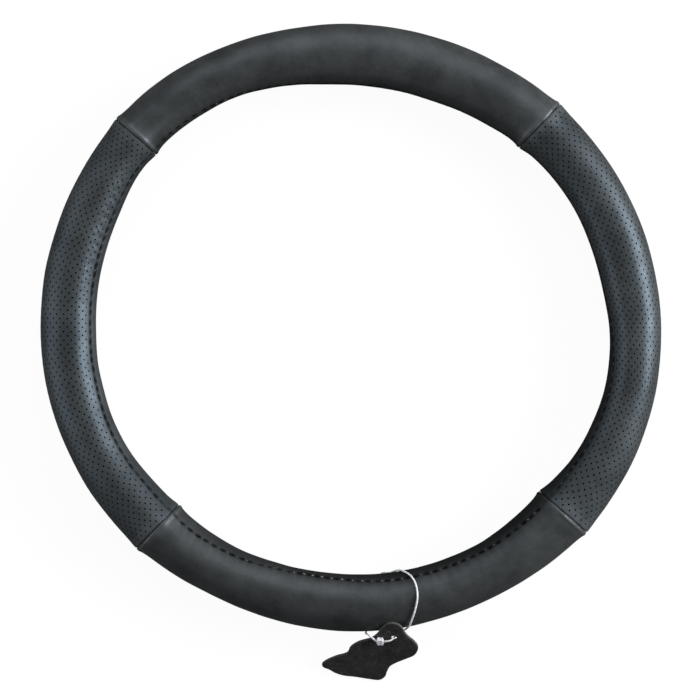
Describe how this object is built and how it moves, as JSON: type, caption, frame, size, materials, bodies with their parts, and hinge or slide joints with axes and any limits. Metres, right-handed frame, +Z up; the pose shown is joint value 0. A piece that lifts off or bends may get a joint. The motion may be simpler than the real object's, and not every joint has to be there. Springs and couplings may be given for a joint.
{
  "type": "steering wheel cover",
  "caption": "Soft ring that slips over a car's steering wheel rim: leather panels, smooth and pierced by turns, stitched over a rubber carrier, with a hang-tag.",
  "frame": {"origin": "on the surface the ring lies on, under the middle of the ring", "axes": "+Z up out of the ring's front; +X and +Y across the ring, +X along its longer width and -Y towards the hang-tag"},
  "size_m": [0.3846, 0.4082, 0.0377],
  "materials": {
    "smooth_leather": "smooth soft leather, satin",
    "pierced_leather": "leather pierced with small holes, satin",
    "suede_leather": "sueded leather with a pale cut edge, matt",
    "carrier_rubber": "moulded rubber, matt",
    "clear_plastic": "milky translucent plastic"
  },
  "bodies": {
    "root": {"inner_ring": "carrier_rubber", "top_panel": "smooth_leather", "bottom_panel": "smooth_leather", "left_panel": "pierced_leather", "right_panel": "pierced_leather", "tag_string": "clear_plastic", "tag_lock": "clear_plastic", "tag_leather": "suede_leather"}
  },
  "joints": []
}
